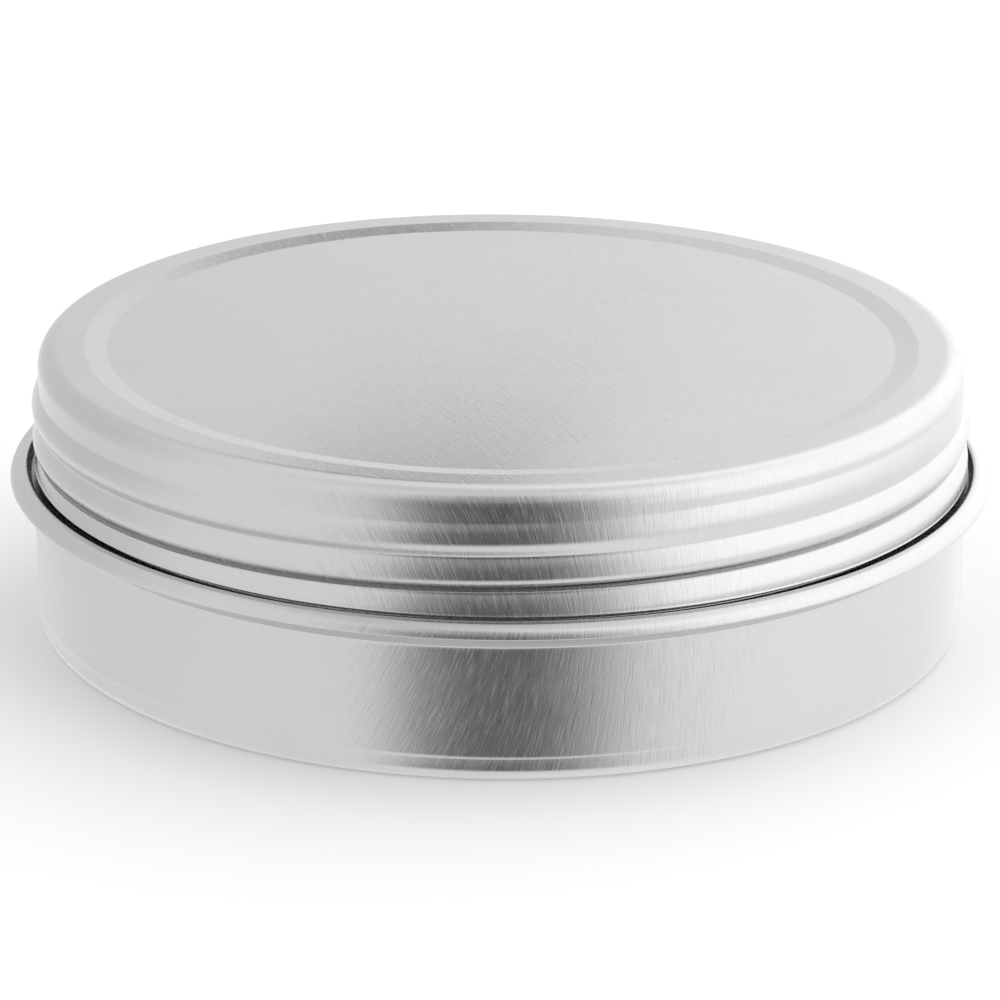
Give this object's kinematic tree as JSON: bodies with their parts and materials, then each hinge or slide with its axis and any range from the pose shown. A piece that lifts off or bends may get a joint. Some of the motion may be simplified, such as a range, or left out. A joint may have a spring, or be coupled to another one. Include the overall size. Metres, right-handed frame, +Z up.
{
  "type": "screw-top candle tin",
  "caption": "Shallow round metal tin with a shoulder bead, a threaded neck and a screw lid with a sunk flat panel, for pouring a candle into.",
  "frame": {"origin": "centre of the tin's axis at the plane of its foot ring, so that the part stands on z = 0", "axes": "+Z up along the tin's axis and the direction in which the lid comes off; -Y is the front"},
  "size_m": [0.0874, 0.0874, 0.0252],
  "materials": {
    "tin_sheet": "bright tinplate with fine hairline rolling grain",
    "lid_sheet": "bright tinplate with fine hairline rolling grain",
    "liner_foam": "white closed-cell foam sheet"
  },
  "bodies": {
    "tin": {"tin_body": "tin_sheet"},
    "liner": {"lid_liner": "liner_foam"},
    "lid": {"lid": "lid_sheet"}
  },
  "joints": [
    {"name": "lid_rise", "type": "slide", "parent": "tin", "child": "liner", "axis": [0, 0, 1], "range_m": [0, 0.0123]},
    {"name": "lid_turn", "type": "hinge", "parent": "liner", "child": "lid", "pos_m": [0, 0, 0], "axis": [0, 0, 1], "range_deg": [0, 1440]}
  ],
  "couplings": [
    {"joint": "lid_rise", "follows": "lid_turn", "m_per_rad": 0.00048542}
  ]
}
